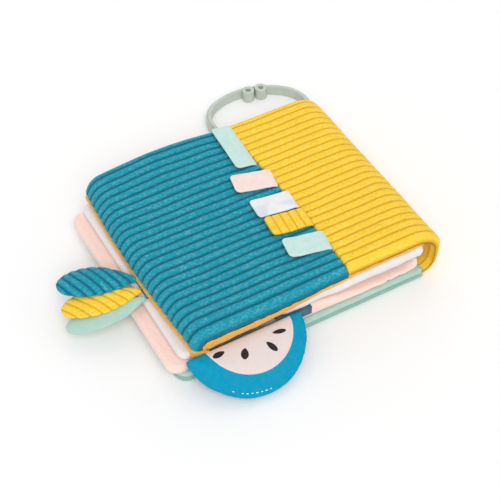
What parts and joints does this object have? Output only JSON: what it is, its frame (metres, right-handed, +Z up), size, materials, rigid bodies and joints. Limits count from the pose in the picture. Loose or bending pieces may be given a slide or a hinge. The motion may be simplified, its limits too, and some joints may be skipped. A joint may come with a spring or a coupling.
{
  "type": "soft cloth book",
  "caption": "Padded cloth baby book, closed, with a ribbed cloth cover, folded tags, three leaves, a stuffed half fruit and a hanging ring.",
  "frame": {"origin": "on the back cover's underside, midway along the spine, where the closed book rests", "axes": "+X from the open fore-edge to the spine, +Y along the spine to the end with the ring, +Z up through the closed book"},
  "size_m": [0.2537, 0.2621, 0.0452],
  "materials": {
    "sage_cloth": "smooth short plush",
    "mint_cloth": "smooth short plush",
    "page_cloth": "smooth short plush",
    "teal_corduroy": "wide-rib corduroy",
    "mustard_corduroy": "wide-rib corduroy",
    "mustard_cloth": "smooth short plush",
    "teal_plush": "smooth short plush",
    "dark_thread": "embroidery",
    "teal_ribbon": "soft ribbon",
    "mint_ribbon": "soft ribbon",
    "pink_ribbon": "soft ribbon",
    "white_ribbon": "soft ribbon",
    "grey_plastic": "satin moulded plastic"
  },
  "bodies": {
    "book": {"back_cover_panel": "sage_cloth", "back_cover_lining": "mint_cloth", "pages": "page_cloth", "spine_foot_wrap": "mustard_corduroy", "fruit_body": "teal_plush", "fruit_flesh": "page_cloth", "seed_1": "dark_thread", "seed_2": "dark_thread", "seed_3": "dark_thread", "seed_4": "dark_thread", "fruit_strap": "teal_ribbon", "ring_loop": "sage_cloth"},
    "spine": {"spine_wrap": "mustard_corduroy", "spine_lining": "mustard_cloth"},
    "front_cover": {"front_teal_panel": "teal_corduroy", "front_mustard_panel": "mustard_corduroy", "front_lining": "mustard_cloth", "wide_mint_tag": "mint_ribbon", "pink_tag": "pink_ribbon", "white_tag": "white_ribbon", "mustard_tag": "mustard_corduroy", "mint_tag": "mint_ribbon", "leaf_tab": "teal_corduroy", "leaf_teal": "teal_corduroy", "leaf_mustard": "mustard_corduroy", "leaf_mint": "mint_cloth"},
    "ring": {"split_ring": "grey_plastic"}
  },
  "joints": [
    {"name": "spine_fold", "type": "hinge", "parent": "book", "child": "spine", "pos_m": [0.10499, 0, 0.00301], "axis": [0, 1, 0], "range_deg": [0, 90]},
    {"name": "cover_fold", "type": "hinge", "parent": "spine", "child": "front_cover", "pos_m": [0.1037, 0, 0.0393], "axis": [0, 1, 0], "range_deg": [0, 90]},
    {"name": "ring_swing", "type": "hinge", "parent": "book", "child": "ring", "pos_m": [0.085, 0.0865, 0.0063], "axis": [1, 0, 0], "range_deg": [-90, 90]}
  ]
}
